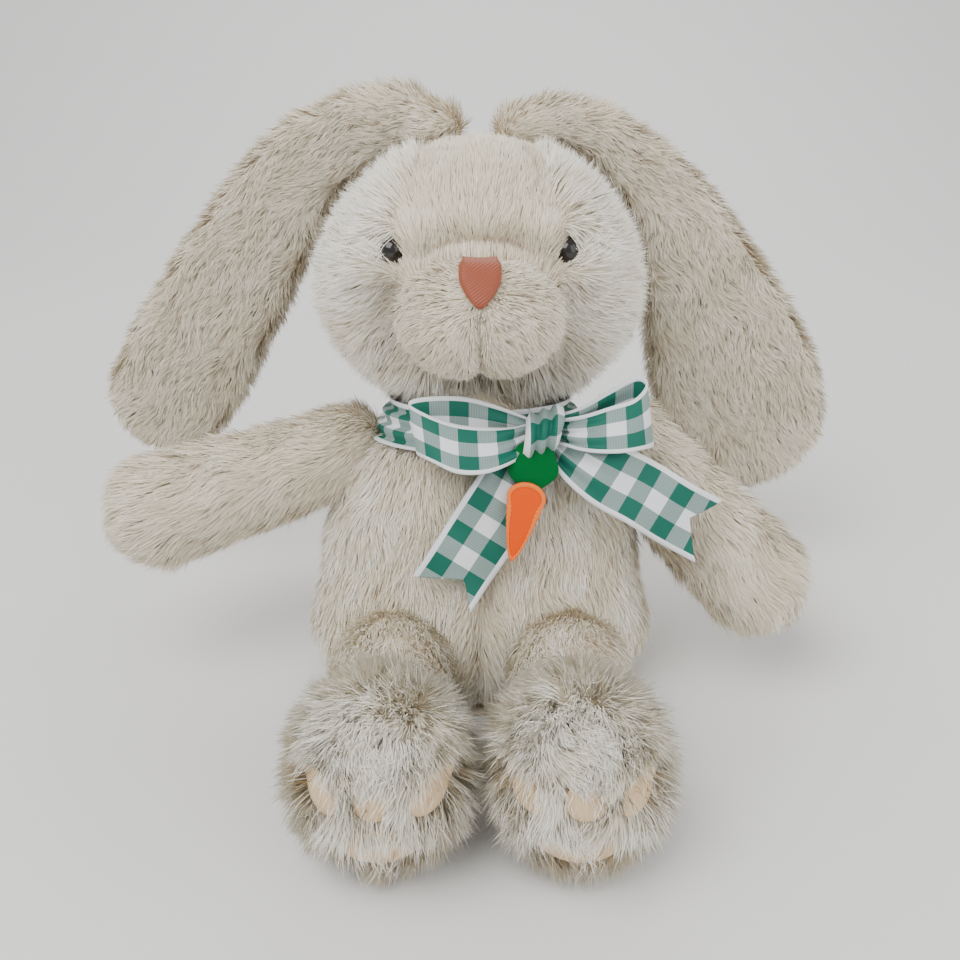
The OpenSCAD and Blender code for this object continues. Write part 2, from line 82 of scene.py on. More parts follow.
class RabbitPile(bpy.types.PropertyGroup):
    long_pile: length("Long pile", 0.0098, "Length of the fur on the cheeks and the arms")
    foot_pile: length("Foot pile", 0.0112, "Length of the shaggy fur on the feet")
    short_pile: length("Short pile", 0.0072, "Length of the fur on the muzzle and the brow")
    torso_pile: length("Torso pile", 0.0085, "Length of the fur on the torso")
    ear_pile: length("Ear pile", 0.0072, "Length of the fur on the ears")
    hair_width: length("Hair width", 0.00034, "Width of one lock of hair at its root")
    density: FloatProperty(name="Density", description="Share of the full number of locks",
                           default=0.86, min=0.02, max=1.5)
    # Root is painted shade: a darker tone for the fur deep between the locks, which no lock's pair
    # uses. Tip is painted light: the palest tone, used only on the tips of locks.
    root: colour("Root", "#d9cdb2", "Fur deep between the locks")
    body: colour("Body", "#ece2cb", "Fur along the locks")
    light: colour("Light", "#f5edda", "The paler locks")
    tip: colour("Tip", "#fcf8ec", "The palest tips")
    tan: colour("Tan", "#ebdcc4", "The short fur of the muzzle and the brow")


class RabbitTrim(bpy.types.PropertyGroup):
    ribbon_w: length("Ribbon width", 0.025, "Width of the ribbon")
    ribbon_t: length("Ribbon thickness", 0.0006, "Thickness of the ribbon")
    green: colour("Green", "#00604f", "Green thread of the ribbon")
    white: colour("White", "#e3e5e8", "White thread of the ribbon")
    nose: colour("Nose", "#93472b", "Thread of the nose")
    eye: colour("Eye", "#1a1512", "Plastic of the eyes")
    pad: colour("Pads", "#dcc09a", "Suede of the pads")
    carrot: colour("Carrot", "#e85206", "Felt of the carrot's root")
    stitch: colour("Stitching", "#f27418", "Thread round the carrot")
    leaf: colour("Leaf", "#085f2c", "Felt of the carrot's top")


# ---------------------------------------------------------------- frame of the spine

JOINT = {j["name"]: j for j in frame["joints"]}
SPINE = Vector(JOINT["neck_turn"]["axis"]).normalized()
DEEP = Vector((0, SPINE.z, -SPINE.y))  # from the chest to the back, square to the spine


def joint_at(name):
    return Vector(JOINT[name]["pos_m"])


NECK = joint_at("neck_turn")


def lean_array(x, n, s):
    """Points given across, deep and along the spine, in the row frame."""
    x, n, s = (np.asarray(v, float) for v in (x, n, s))
    return np.stack([x, n * DEEP.y + s * SPINE.y, n * DEEP.z + s * SPINE.z], -1)


def lean(x, n, s):
    return Vector(lean_array(x, n, s))


def unlean(p):
    """Across, deep and along the spine of points in the row frame."""
    return p[:, 0], p[:, 1] * DEEP.y + p[:, 2] * DEEP.z, p[:, 1] * SPINE.y + p[:, 2] * SPINE.z


def middle(node):
    lo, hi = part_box(node)
    return (lo + hi) / 2


# ---------------------------------------------------------------- materials

def add_node(tree, kind, links=(), **settings):
    """One shader node with its settings, sockets' values and links."""
    node = tree.nodes.new(kind)
    for key, value in settings.items():
        if key.startswith("in_"):
            node.inputs[key[3:].replace("_", " ")].default_value = value
        else:
            setattr(node, key, value)
    for socket, source in links:
        tree.links.new(source, node.inputs[socket])
    return node


def new_material(name, **values):
    m = bpy.data.materials.new(name)
    m.use_nodes = True
    shader = m.node_tree.nodes["Principled BSDF"]
    for key, value in values.items():
        shader.inputs[key.replace("_", " ")].default_value = value
    m.diffuse_color = tuple(shader.inputs["Base Color"].default_value)
    return m, m.node_tree, shader


_made = {}


def material(name):
    if name not in _made:
        _made[name] = MATERIALS[name]()
    return _made[name]


def fur_tone(name, code):
    """Matt acrylic fibre: no gloss, so that only the locks' own shadows shape it."""
    return new_material(name, Base_Color=code, Roughness=0.85, Specular_IOR_Level=0.15)[0]


def backing():
    """Knitted backing cloth under the pile, mottled in the body and tan tones; its darker tone is
    painted shade, dark enough to read as depth between the locks.
    """
    m, tree, shader = new_material("knitted_plush_backing", Roughness=0.95)
    at = add_node(tree, "ShaderNodeTexCoord").outputs["Object"]
    noise = add_node(tree, "ShaderNodeTexNoise", [("Vector", at)], in_Scale=400.0)
    pile = bpy.context.scene.rabbit_pile
    mix = add_node(tree, "ShaderNodeMix", [("Factor", noise.outputs["Fac"])], data_type="RGBA")
    mix.inputs["A"].default_value = pile.body
    mix.inputs["B"].default_value = pile.tan
    tree.links.new(mix.outputs["Result"], shader.inputs["Base Color"])
    return m


def plain(name, get, rough, spec=0.3, bump=None, sheen=0.0):
    """A plain finish with a fine bump, whose size is given in real millimetres."""
    def make():
        m, tree, shader = new_material(name, Base_Color=get(), Roughness=rough,
                                       Specular_IOR_Level=spec, Sheen_Weight=sheen)
        if bump:
            size, height = bump
            at = add_node(tree, "ShaderNodeTexCoord").outputs["Object"]
            noise = add_node(tree, "ShaderNodeTexNoise", [("Vector", at)], in_Scale=1 / (size * MM))
            b = add_node(tree, "ShaderNodeBump", [("Height", noise.outputs["Fac"])],
                         in_Distance=height * MM)
            tree.links.new(b.outputs["Normal"], shader.inputs["Normal"])
        return m
    return make


SELVEDGE = 0.08  # share of the ribbon's width that stays white along each edge
CHECK_PERIOD = 0.56  # one green and one white bar, in ribbon widths
THREAD = 0.9 * MM  # a pair of threads; real ones, about 0.2 mm, would be too fine to show
WEAVE_CONTRAST = 0.16
MIXED_DEPTH = 0.5  # half green, half white threads look nearer to green


def gingham():
    """Woven gingham: UV runs 0..1 across the ribbon and counts ribbon widths along it."""
    trim = bpy.context.scene.rabbit_trim
    m, tree, shader = new_material("woven_gingham_ribbon", Roughness=0.62, Specular_IOR_Level=0.35)
    uv = add_node(tree, "ShaderNodeUVMap", uv_map="UVMap").outputs["UV"]
    split = add_node(tree, "ShaderNodeSeparateXYZ", [("Vector", uv)])

    def math_node(kind, a, b=None):
        node = add_node(tree, "ShaderNodeMath", operation=kind)
        for i, v in enumerate((a, b)):
            if v is None:
                continue
            if isinstance(v, (int, float)):
                node.inputs[i].default_value = v
            else:
                tree.links.new(v, node.inputs[i])
        return node.outputs[0]

    def bars(value, shift):
        shifted = math_node("ADD", math_node("MULTIPLY", value, 1 / CHECK_PERIOD), shift)
        return math_node("LESS_THAN", math_node("FRACT", shifted), 0.5)

    off_middle = math_node("ABSOLUTE", math_node("SUBTRACT", split.outputs["X"], 0.5))
    inside = math_node("LESS_THAN", off_middle, 0.5 - SELVEDGE)
    across = bars(split.outputs["X"], -SELVEDGE / CHECK_PERIOD)
    along = math_node("MULTIPLY", bars(split.outputs["Y"], 0.0), inside)
    rows = math_node("FRACT", math_node("MULTIPLY", split.outputs["Y"], trim.ribbon_w / THREAD))
    weave = math_node("MULTIPLY", math_node("SUBTRACT", rows, 0.5), WEAVE_CONTRAST)
    mixed = math_node("ABSOLUTE", math_node("SUBTRACT", across, along))
    half = math_node("POWER", math_node("MULTIPLY", math_node("ADD", across, along), 0.5), MIXED_DEPTH)
    green = math_node("ADD", half, math_node("MULTIPLY", weave, mixed))
    mix = add_node(tree, "ShaderNodeMix", [("Factor", green)], data_type="RGBA")
    mix.inputs["A"].default_value = trim.white
    mix.inputs["B"].default_value = trim.green
    tree.links.new(mix.outputs["Result"], shader.inputs["Base Color"])
    return m


def pile_of(name):
    return lambda: fur_tone("acrylic_fur_" + name, getattr(bpy.context.scene.rabbit_pile, name))


def trim_of(name):
    return lambda: getattr(bpy.context.scene.rabbit_trim, name)


MATERIALS = {
    "root": pile_of("root"), "body": pile_of("body"), "light": pile_of("light"),
    "tip": pile_of("tip"), "tan": pile_of("tan"),
    "backing": backing, "gingham": gingham,
    # Chopped fibre: an uneven dull white
    "filling": plain("loose_polyester_filling", lambda: linear("#f1efe8"), 0.95, 0.1, (2, 0.6)),
    # Unbleached plain weave, with a grain just finer than the eye can count
    "pouch": plain("plain_cotton_pouch", lambda: linear("#e4dfd0"), 0.9, 0.2, (0.6, 0.1)),
    # Polypropylene off the mould: an even, soft highlight
    "washer": plain("white_moulded_plastic", lambda: linear("#e9e7e0"), 0.4, 0.5),
    # Tumble-polished plastic: small sharp highlights on near black
    "eye": plain("polished_black_plastic", trim_of("eye"), 0.12, 0.6),
    # Rayon thread laid side by side: a broad shine; its ridges are in the mesh
    "nose": plain("copper_satin_stitch", trim_of("nose"), 0.45, 0.5),
    # Brushed suede cloth: a short nap, with no highlight
    "pad": plain("peach_suede_cloth", trim_of("pad"), 0.9, 0.1, (0.35, 0.08)),
    # Pressed wool felt: matted fibres that scatter all the light
    "carrot": plain("orange_wool_felt", trim_of("carrot"), 0.92, 0.1, (0.5, 0.15)),
    "leaf": plain("green_wool_felt", trim_of("leaf"), 0.92, 0.1, (0.5, 0.15)),
    "stitch": plain("orange_edge_thread", trim_of("stitch"), 0.5, 0.4),
    # Matt painted board
    "floor": plain("pale_studio_floor", lambda: linear("#e9e8e6"), 0.8, 0.2),
}


# ---------------------------------------------------------------- shaping helpers

def cover_with(o, look):
    """Gives an object one material in place of any that it has."""
    o.data.materials.clear()
    o.data.materials.append(material(look))


def unselect():
    bpy.ops.object.select_all(action="DESELECT")


def coords(o):
    co = np.empty(len(o.data.vertices) * 3, np.float32)
    o.data.vertices.foreach_get("co", co)
    return co.reshape(-1, 3).astype(float)


def set_coords(o, co):
    o.data.vertices.foreach_set("co", np.asarray(co, np.float32).ravel())
    o.data.update()


def named(name, *materials):
    o = bpy.context.object
    o.name = o.data.name = name
    for key in materials:
        o.data.materials.append(material(key))
    return o


def ball(name, place, segments=64, rings=40, look="backing"):
    """A sphere whose vertices place() moves from the unit sphere to the row frame."""
    unselect()
    bpy.ops.mesh.primitive_uv_sphere_add(segments=segments, ring_count=rings, radius=1)
    o = named(name, look)
    set_coords(o, place(coords(o)))
    bpy.ops.object.shade_smooth()
    return o


def pick(o):
    unselect()
    o.select_set(True)
    bpy.context.view_layer.objects.active = o


def fix_normals(o):
    pick(o)
    bpy.ops.object.mode_set(mode="EDIT")
    bpy.ops.mesh.select_all(action="SELECT")
    bpy.ops.mesh.normals_make_consistent(inside=False)
    bpy.ops.object.mode_set(mode="OBJECT")


def modify(o, kind, **settings):
    """Adds a modifier and applies it."""
    pick(o)
    m = o.modifiers.new(kind.lower(), kind)
    for key, value in settings.items():
        setattr(m, key, value)
    bpy.ops.object.modifier_apply(modifier=m.name)
    return o


def cast_of(name, nodes, voxel, look="backing"):
    """One closed skin round some CAD solids, for a piece whose outline they give."""
    unselect()
    copies = []
    for n in nodes:
        c = frame["nodes"][n].copy()
        c.data = c.data.copy()
        for key in list(c.keys()):
            del c[key]
        c.parent = None
        bpy.context.scene.collection.objects.link(c)
        c.select_set(True)
        copies.append(c)
    bpy.context.view_layer.objects.active = copies[0]
    if len(copies) > 1:
        bpy.ops.object.join()
    o = bpy.context.object
    o.data.materials.clear()
    o = named(name, look)
    modify(o, "REMESH", mode="VOXEL", voxel_size=voxel, use_smooth_shade=True)
    return o


def unit(v):
    return v / np.maximum(np.linalg.norm(v, axis=-1, keepdims=True), 1e-9)


def normals(o):
    no = np.empty(len(o.data.vertices) * 3, np.float32)
    o.data.vertices.foreach_get("normal", no)
    return no.reshape(-1, 3).astype(float)


def bump(x, centre, width):
    return np.exp(-((x - centre) / width) ** 2)


def ramp(x, lo, hi):
    t = np.clip((x - lo) / (hi - lo), 0, 1)
    return t * t * (3 - 2 * t)


# ---------------------------------------------------------------- fur

# Material pairs of a lock, root and tip, from the darkest patches to the palest. The patches vary at
# random, but in every pair the root is darker than the tip: painted shade deep in the pile and painted
# light on the tips.
TONES = (("tan", "body"), ("body", "light"), ("body", "light"), ("light", "tip"))
TAN_TONES = (("tan", "body"), ("tan", "body"), ("tan", "light"), ("body", "light"))
# Painted light: paler tones for the cheeks and the feet, a lit copy of the same fur
LIT_TONES = (("body", "light"), ("body", "tip"), ("light", "tip"), ("light", "tip"))
# Painted shade: darker tones for the ears and the arms, a shaded copy of the same fur
SHADED_TONES = (("tan", "body"), ("body", "body"), ("tan", "light"), ("body", "light"))
FLOOR_GAP = 0.3 * MM
SHEEN_JITTER = 0.16  # how much the locks' shading strays from the skin's


def scatter(o, count, rng, density):
    """Random points spread over a mesh by area and density, with their normals."""
    me = o.data
    me.calc_loop_triangles()
    tri = np.empty(len(me.loop_triangles) * 3, np.int32)
    me.loop_triangles.foreach_get("vertices", tri)
    tri = tri.reshape(-1, 3)
    co, no = coords(o), normals(o)
    a, b, c = (co[tri[:, i]] for i in range(3))
    area = 0.5 * np.linalg.norm(np.cross(b - a, c - a), axis=1)
    weight = area if density is None else area * density((a + b + c) / 3)
    pick = rng.choice(len(tri), count, p=weight / weight.sum())
    u, v = rng.random((2, count))
    over = u + v > 1
    u[over], v[over] = 1 - u[over], 1 - v[over]
    u, v = u[:, None], v[:, None]
    p = a[pick] + u * (b[pick] - a[pick]) + v * (c[pick] - a[pick])
    n = unit(sum(no[tri[pick, i]] * w for i, w in enumerate((1 - u - v, u, v))))
    return p, n, float(area.sum())


def nearest(points, centres, block=20000):
    owner = np.empty(len(points), int)
    size = (centres ** 2).sum(1)
    for i in range(0, len(points), block):
        part = points[i:i + block]
        owner[i:i + block] = np.argmin(size - 2 * part @ centres.T, axis=1)
    return owner


def patches(p, size, seed):
    """A soft field from about -1 to 1 that changes over patches of the given size."""
    rng = np.random.default_rng(40 + seed)
    waves = unit(rng.normal(size=(7, 3))) * (2 * np.pi / size / rng.uniform(0.8, 2.2, (7, 1)))
    return np.sin(p @ waves.T + rng.uniform(0, 6.3, 7)).sum(1) / 2.6


SWIRL_SIZE, TONE_SIZE = 17 * MM, 12 * MM  # patches that swirl or change tone together
OWN_FACE = 0.25  # how much a lock's own face counts in its shading
LOCK_BEND = 0.1  # how far a lock's middle stands out, as a share of its length


def grow(name, skin, body, comb, count, reach, lift=40, clump=3.6, gather=0.3, stray=0.13,
         sway=0.18, swirl=0.3, keep=None, scale=None, tones=TONES):
    """Fur as flat tapering locks: comb() lays them, and tufts of them lean and close up together."""
    pile = bpy.context.scene.rabbit_pile
    rng = np.random.default_rng(sum(map(ord, name)) * 7919)
    count = max(int(count * pile.density * (1)), 100)
    p, n, area = scatter(skin, count, rng, keep)
    t = comb(p, n)
    t = unit(t - n * (t * n).sum(1, keepdims=True))
    turn = patches(p, SWIRL_SIZE, 0) * swirl
    t = t * np.cos(turn)[:, None] + np.cross(n, t) * np.sin(turn)[:, None]
    tufts = max(int(area / (clump * MM) ** 2), 8)
    centres = rng.choice(len(p), min(tufts, len(p)), replace=False)
    owner = nearest(p, p[centres])
    leans = rng.normal(size=(len(centres), 3)) * sway
    up = math.radians(lift)
    axis = unit(n[centres] * math.sin(up) + t[centres] * math.cos(up) + leans)
    size = reach * rng.normal(1, 0.16, len(p)).clip(0.5, 1.4)
    if scale is not None:
        size = size * scale(p)
    size = size[:, None]
    d = unit(n * math.sin(up) + t * math.cos(up) + leans[owner] + rng.normal(size=p.shape) * stray)
    tip = p + d * size
    tip += (p[centres][owner] + axis[owner] * size * 1.05 - tip) * gather
    mid = p + (tip - p) * 0.5 + n * size * LOCK_BEND
    half = unit(np.cross(tip - p, n + rng.normal(size=p.shape) * 0.45))
    thick = 1
    half *= pile.hair_width * thick * rng.uniform(0.7, 1.3, (len(p), 1)) / 2
    verts = np.stack([p - half, p + half, mid + half * 0.85, mid - half * 0.85, tip], 1)
    verts[..., 2] = np.maximum(verts[..., 2], FLOOR_GAP)
    k = len(p)
    first = np.arange(k)[:, None] * 5
    loops = np.concatenate([first + [0, 1, 2, 3], first + [3, 2, 4]], 1).ravel()
    starts = (np.arange(k)[:, None] * 7 + [0, 4]).ravel()
    me = bpy.data.meshes.new(name)
    me.vertices.add(k * 5)
    me.vertices.foreach_set("co", verts.astype(np.float32).ravel())
    me.loops.add(k * 7)
    me.loops.foreach_set("vertex_index", loops.astype(np.int32))
    me.polygons.add(k * 2)
    me.polygons.foreach_set("loop_start", starts.astype(np.int32))
    keys = sorted({key for pair in tones for key in pair})
    pair = np.array([[keys.index(a), keys.index(b)] for a, b in tones])
    tone = (patches(p, TONE_SIZE, 1) * 0.55 + 0.5 + rng.normal(size=k) * 0.32) * len(tones)
    tone = np.clip(tone.astype(int), 0, len(tones) - 1)
    # Each lock's root quad takes the darker tone of its pair and its tip the paler one: painted shade
    # in the pile, painted light on the tips.
    me.polygons.foreach_set("material_index", pair[tone].ravel().astype(np.int32))
    me.polygons.foreach_set("use_smooth", np.ones(k * 2, bool))
    for key in keys:
        me.materials.append(material(key))
    me.update(calc_edges=True)
    own = unit(np.cross(half, d))[:, None, :] * OWN_FACE
    soft = unit(n[:, None, :] + own + rng.normal(size=(k, 1, 3)) * SHEEN_JITTER)
    free = me.attributes.new("custom_normal", "FLOAT_VECTOR", "POINT")
    free.data.foreach_set("vector", np.repeat(soft, 5, 1).astype(np.float32).ravel())
    o = bpy.data.objects.new(name, me)
    bpy.context.scene.collection.objects.link(o)
    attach(o, body)


def stand_for(o, body, nodes):
    """A finished piece: it rides on its body and stands for its CAD solids."""
    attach(o, body)
    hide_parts(*nodes)


def skinned(o, body, nodes):
    """A finished skin: it rides on its body and stands for its CAD solids."""
    stand_for(o, body, nodes)


# ---------------------------------------------------------------- the pieces

class RabbitPiece:
    bl_options = {"REGISTER", "UNDO"}

    def execute(self, context):
        self.build(context.scene.rabbit_pile, context.scene.rabbit_trim)
        return {"FINISHED"}


HEAD_HALF = (63 * MM, 56 * MM, 56 * MM)
HEAD_INSET = 6.2 * MM  # from the CAD form in to the cloth under the pile
# Shares of the head's radius: the crease round the muzzle, the cheeks' puff, the swell round an eye
GROOVE, CHEEK_PUFF, EYE_LIDS = 0.1, 0.035, 0.085
LID_AT, LID_WIDE = 8.5 * MM, 4.2 * MM  # where that swell lies from the eye's middle
MUZZLE_HALF = (30 * MM, 22.5 * MM, 22.5 * MM)
MUZZLE_INSET = 4 * MM
MUZZLE_DEEP, MUZZLE_DROP = -55.5 * MM, 17 * MM  # from the spine, and below the head's middle


def head_along():
    """Height along the spine of the middle of the head."""
    return float(max(unlean(coords(frame["nodes"]["head_gusset"]))[2])) - HEAD_HALF[2]


def muzzle_share(p, along0):
    """1 on the muzzle's outline as seen from the front, more outside it."""
    x, n, s = unlean(p)
    return np.hypot(x / MUZZLE_HALF[0], (s - along0 + MUZZLE_DROP) / MUZZLE_HALF[2])


class RABBIT_OT_head(RabbitPiece, bpy.types.Operator):
    """Head: a smooth brow panel between two fluffy cheeks"""
    bl_idname = "rabbit.head"
    bl_label = "Head"

    def build(self, pile, trim):
        half = np.array(HEAD_HALF) - HEAD_INSET
        along0 = head_along()
        eyes = [np.array(middle(f"{s}_eye")) for s in SIDES.values()]

        def near_eye(p):
            return np.minimum(*[np.linalg.norm(p - e, axis=1) for e in eyes])

        def place(u):
            x, y, z = u.T
            wide = 1 + 0.045 * bump(z, -0.3, 0.45) - 0.07 * ramp(z, 0.1, 0.95)
            front = ramp(-y, 0.1, 0.7)
            panel = 0.5 - 0.1 * ramp(z, 0.1, 0.9)
            crease = 0.07 * bump(np.abs(x), panel, 0.08) * front * ramp(z, -0.15, 0.1)
            brow = 0.012 * ramp(0.5 - np.abs(x), 0, 0.1) * front * ramp(z, 0, 0.2)
            chin = 0.05 * bump(x, 0, 0.06) * front * ramp(-z, 0.55, 0.7)
            r = 1 - crease - brow - chin
            p = lean_array(x * wide * half[0] * r, y * half[1] * r, along0 + z * half[2] * r)
            share = muzzle_share(p, along0)
            groove = GROOVE * bump(share, 1.12, 0.16) * ramp(-y, 0.2, 0.6)
            cheeks = CHEEK_PUFF * bump(share, 1.55, 0.3) * ramp(-y, 0.1, 0.5) * ramp(-z, -0.5, 0)
            hub = lean_array(0, 0, along0)
            lids = EYE_LIDS * bump(near_eye(p), LID_AT, LID_WIDE)
            return hub + (p - hub) * (1 - groove + cheeks + lids)[:, None]

        skin = ball("head_skin", place, 112, 72)
        skinned(skin, "head", ["head_side_left", "head_side_right", "head_gusset", "head_chin",
                               "head_stuffing"])
        face = np.array(lean(0, -0.050, along0 - 0.014))

        def brow_share(p):
            x, n, s = unlean(p)
            wide = 0.028 - 0.006 * ramp(s - along0, 0.01, 0.045) - 0.012 * ramp(n, -0.01, 0.05)
            return ramp(wide - np.abs(x), -0.001, 0.001) * ramp(s - along0, -0.012, 0.0)

        def bare(p):
            x, n, s = unlean(p)
            hidden = (muzzle_share(p, along0) < 0.82) & (n < -0.03)
            neck = (s < along0 - 0.047) & (np.hypot(x, n) < 0.02)
            return ~(hidden | neck)

        def cheek_keep(p):
            return (1 - brow_share(p)) * bare(p) * (0.5 + 0.5 * ramp(near_eye(p), 0.003, 0.005))

        def cheek_comb(p, n):
            over = bump(near_eye(p), 0.006, 0.006) * (p[:, 2] > eyes[0][2])
            return unit(p - face) + np.array([0, 0.1, -0.22]) - over[:, None] * np.array([0, 0, 1.8])

        def cheek_scale(p):
            x, n, s = unlean(p)
            edge = np.where(n < -0.025, 0.35 + 0.65 * ramp(muzzle_share(p, along0), 1.05, 1.45), 1)
            split = 1 - 0.55 * bump(x, 0, 0.0025) * (s < along0 - 0.03) * (n < -0.02)
            return edge * split

        def brow_comb(p, n):
            return lean_array(p[:, 0] * 12, np.full(len(p), 0.35), np.ones(len(p)))

        for side, word in SIDES.items():
            # The cheeks take the paler tones, painted light
            grow(f"cheek_pile_{word}", skin, "head", cheek_comb, 42000, pile.long_pile, lift=40,
                 clump=4.5, gather=0.16, sway=0.11, scale=cheek_scale, tones=LIT_TONES,
                 keep=lambda p: cheek_keep(p) * (p[:, 0] * side > 0))
        grow("brow_pile", skin, "head", brow_comb, 34000, pile.short_pile * 0.9, lift=24, clump=5,
             sway=0.05, stray=0.08, gather=0.1, swirl=0.15, keep=lambda p: brow_share(p) * bare(p),
             tones=TAN_TONES)


NOSE_FREE = (8 * MM, 9.5 * MM)  # half sizes of the oval round the nose, where the pile is short
NOSE_OVER = 13 * MM  # from the muzzle's middle up to the oval's


class RABBIT_OT_muzzle(RabbitPiece, bpy.types.Operator):
    """Muzzle: a wide soft loaf, creased down the middle under the nose"""
    bl_idname = "rabbit.muzzle"
    bl_label = "Muzzle"

    def build(self, pile, trim):
        half = np.array(MUZZLE_HALF) - MUZZLE_INSET
        along0 = head_along() - MUZZLE_DROP

        def place(u):
            x, y, z = u.T
            crease = 0.17 * bump(x, 0, 0.08) * ramp(-z, -0.2, 0.15) * ramp(-y, -0.3, 0.4)
            lobes = 1 + 0.06 * bump(np.abs(x), 0.5, 0.3) * ramp(-z, -0.2, 0.5)
            r = (1 - crease) * lobes
            return lean_array(x * half[0] * r, MUZZLE_DEEP + y * half[1] * r, along0 + z * half[2] * r)

        skin = ball("muzzle_skin", place, 96, 56)
        skinned(skin, "head", ["muzzle_left", "muzzle_right", "muzzle_stuffing"])

        def comb(p, n):
            side = np.tanh(p[:, 0] / 0.005)
            return lean_array(side * 0.8, 0.5 * np.ones_like(side), -0.7 * np.ones_like(side))

        def nose_share(p):
            x, d, s = unlean(p)
            return np.hypot(x / NOSE_FREE[0], (s - along0 - NOSE_OVER) / NOSE_FREE[1])

        def keep(p):
            return (unlean(p)[1] < -0.022) & (nose_share(p) > 0.72)

        def scale(p):
            x, d, s = unlean(p)
            below = ramp(along0 + 0.004 - s, 0, 0.004)
            return (1 - 0.6 * bump(x, 0, 0.0025) * below) * (0.5 + 0.5 * ramp(nose_share(p), 1.0, 1.6))

        grow("muzzle_pile", skin, "head", comb, 42000, pile.short_pile * 0.68, lift=42, clump=3.6,
             gather=0.14, sway=0.12, keep=keep, scale=scale, tones=TAN_TONES)


TORSO_HALF = (0.060, 0.047, 0.060)
TORSO_INSET = 4.2 * MM  # from the CAD form in to the cloth under the pile
HIP_SPREAD = 0.25  # the torso is this much wider across the hips than the chest
SHOULDER_POWER, SEAT_POWER = 4.6, 2.6  # how square the torso's upper and lower halves are
SEAT_LIFT = 3.5 * MM  # the cloth under the seat rides this high on its pressed pile
NECK_R = 26 * MM


class RABBIT_OT_torso(RabbitPiece, bpy.types.Operator):
    """Torso: short fur that lies down the belly, parted along the belly seam"""
    bl_idname = "rabbit.torso"
    bl_label = "Torso and neck"

    def build(self, pile, trim):
        half = np.array(TORSO_HALF) - TORSO_INSET
        along0 = float(NECK.dot(SPINE)) - TORSO_HALF[2]

        def place(u):
            x, y, z = u.T
            power = np.where(z > 0, 2 / SHOULDER_POWER, 2 / SEAT_POWER)
            ring = np.sqrt(np.maximum(x * x + y * y, 1e-12))
            r = ring ** power
            seam = 1 - 0.045 * bump(x / ring, 0, 0.045) * ramp(-y, 0, 0.3)
            hips = 1 + HIP_SPREAD * ramp(-z, -0.35, 0.45)
            p = lean_array(x / ring * r * half[0] * seam * hips, y / ring * r * half[1] * seam,
                           along0 + np.sign(z) * np.abs(z) ** power * half[2])
            p[:, 2] = np.maximum(p[:, 2], SEAT_LIFT)
            return p

        skin = ball("torso_skin", place, 112, 72)
        skinned(skin, "torso", ["torso_front_left", "torso_front_right", "torso_back",
                                "torso_stuffing"])

        def comb(p, n):
            x, d, s = unlean(p)
            away = np.tanh(x / 0.003) * bump(x, 0, 0.006) * (d < 0)
            return lean_array(away * 0.8, np.zeros_like(x), -np.ones_like(x))

        def scale(p):
            x, d, s = unlean(p)
            return 1 - 0.55 * bump(x, 0, 0.0022) * (d < 0)

        parts = (("torso_pile_left", 34000, lambda x, d: (x > 0) & (d < 0)),
                 ("torso_pile_right", 34000, lambda x, d: (x <= 0) & (d < 0)),
                 ("torso_pile_back", 30000, lambda x, d: d >= 0))
        for name, count, where in parts:
            def keep(p, where=where):
                x, d, s = unlean(p)
                return where(x, d) & (p[:, 2] > 0.005)
            grow(name, skin, "torso", comb, count, pile.torso_pile, lift=17, clump=5.0, sway=0.07,
                 gather=0.12, keep=keep, scale=scale)
        neck = ball("neck_skin", lambda u: u * NECK_R + np.array(NECK), 48, 32)
        skinned(neck, "neck", ["neck_stuffing"])
        grow("neck_pile", neck, "neck", comb, 3000, pile.torso_pile * 0.8, lift=35,
             keep=lambda p: np.abs(unlean(p)[2] - NECK.dot(SPINE)) < 0.012)



# The ears' middle lines from their roots: across and along the spine, in millimetres
EAR_LINES = {
    RIGHT: ((1, 1), (32, 3), (68, -25), (98, -71), (126, -116)),
    LEFT: ((1, 1), (31, 3), (65, -29), (88, -81), (107, -128)),
}
EAR_VOXEL, EAR_INSET = 1.8 * MM, 2.2 * MM
EAR_HANG = math.radians(16)  # how much steeper than the spine the ears hang
EAR_MIDDLE = 9.5 * MM  # their middle plane's depth behind the root


class RABBIT_OT_ears(RabbitPiece, bpy.types.Operator):
    """Ears: fur on the outer face and on the lining, combed to the tip"""
    bl_idname = "rabbit.ears"
    bl_label = "Ears"

    def build(self, pile, trim):
        for side, word in SIDES.items():
            root = joint_at(f"{word}_ear_lift")
            line = np.array([[side * a * MM, b * MM] for a, b in EAR_LINES[side]])
            skin = cast_of(f"{word}_ear_skin", [f"{word}_ear_fur", f"{word}_ear_lining"], EAR_VOXEL)
            modify(skin, "SMOOTH", factor=0.5, iterations=36)
            set_coords(skin, coords(skin) - normals(skin) * EAR_INSET)
            modify(skin, "SMOOTH", factor=0.5, iterations=3)
            skinned(skin, f"{word}_ear", [f"{word}_ear_fur", f"{word}_ear_lining"])
            mids, dirs = (line[:-1] + line[1:]) / 2, unit(line[1:] - line[:-1])

            def comb(p, n):
                x, d, s = unlean(p - np.array(root))
                flat = np.stack([x, s], 1)
                gap = np.linalg.norm(flat[:, None] - mids[None], axis=2)
                w = np.exp(-((gap - gap.min(1, keepdims=True)) / 0.012))
                t = (w[..., None] * dirs).sum(1)
                t = unit(t)
                return lean_array(t[:, 0], np.zeros(len(t)), t[:, 1])

            for part, sign, count in (("front", -1, 38000), ("back", 1, 26000)):
                # The ears take the darker tones, painted shade
                grow(f"{word}_ear_pile_{part}", skin, f"{word}_ear", comb, count, pile.ear_pile,
                     lift=40, clump=3.4, sway=0.14, gather=0.12, swirl=0.4, tones=SHADED_TONES,
                     keep=lambda p: behind_ear(p, root) * sign > 0)


def behind_ear(p, root):
    """Positive behind the ears' own middle plane, which hangs steeper than the spine."""
    x, d, s = unlean(p - np.array(root))
    return (d - EAR_MIDDLE) * math.cos(EAR_HANG) + s * math.sin(EAR_HANG)


CAP_SHARE = 0.3  # share of a limb's rings, from the middle, where its round ends begin


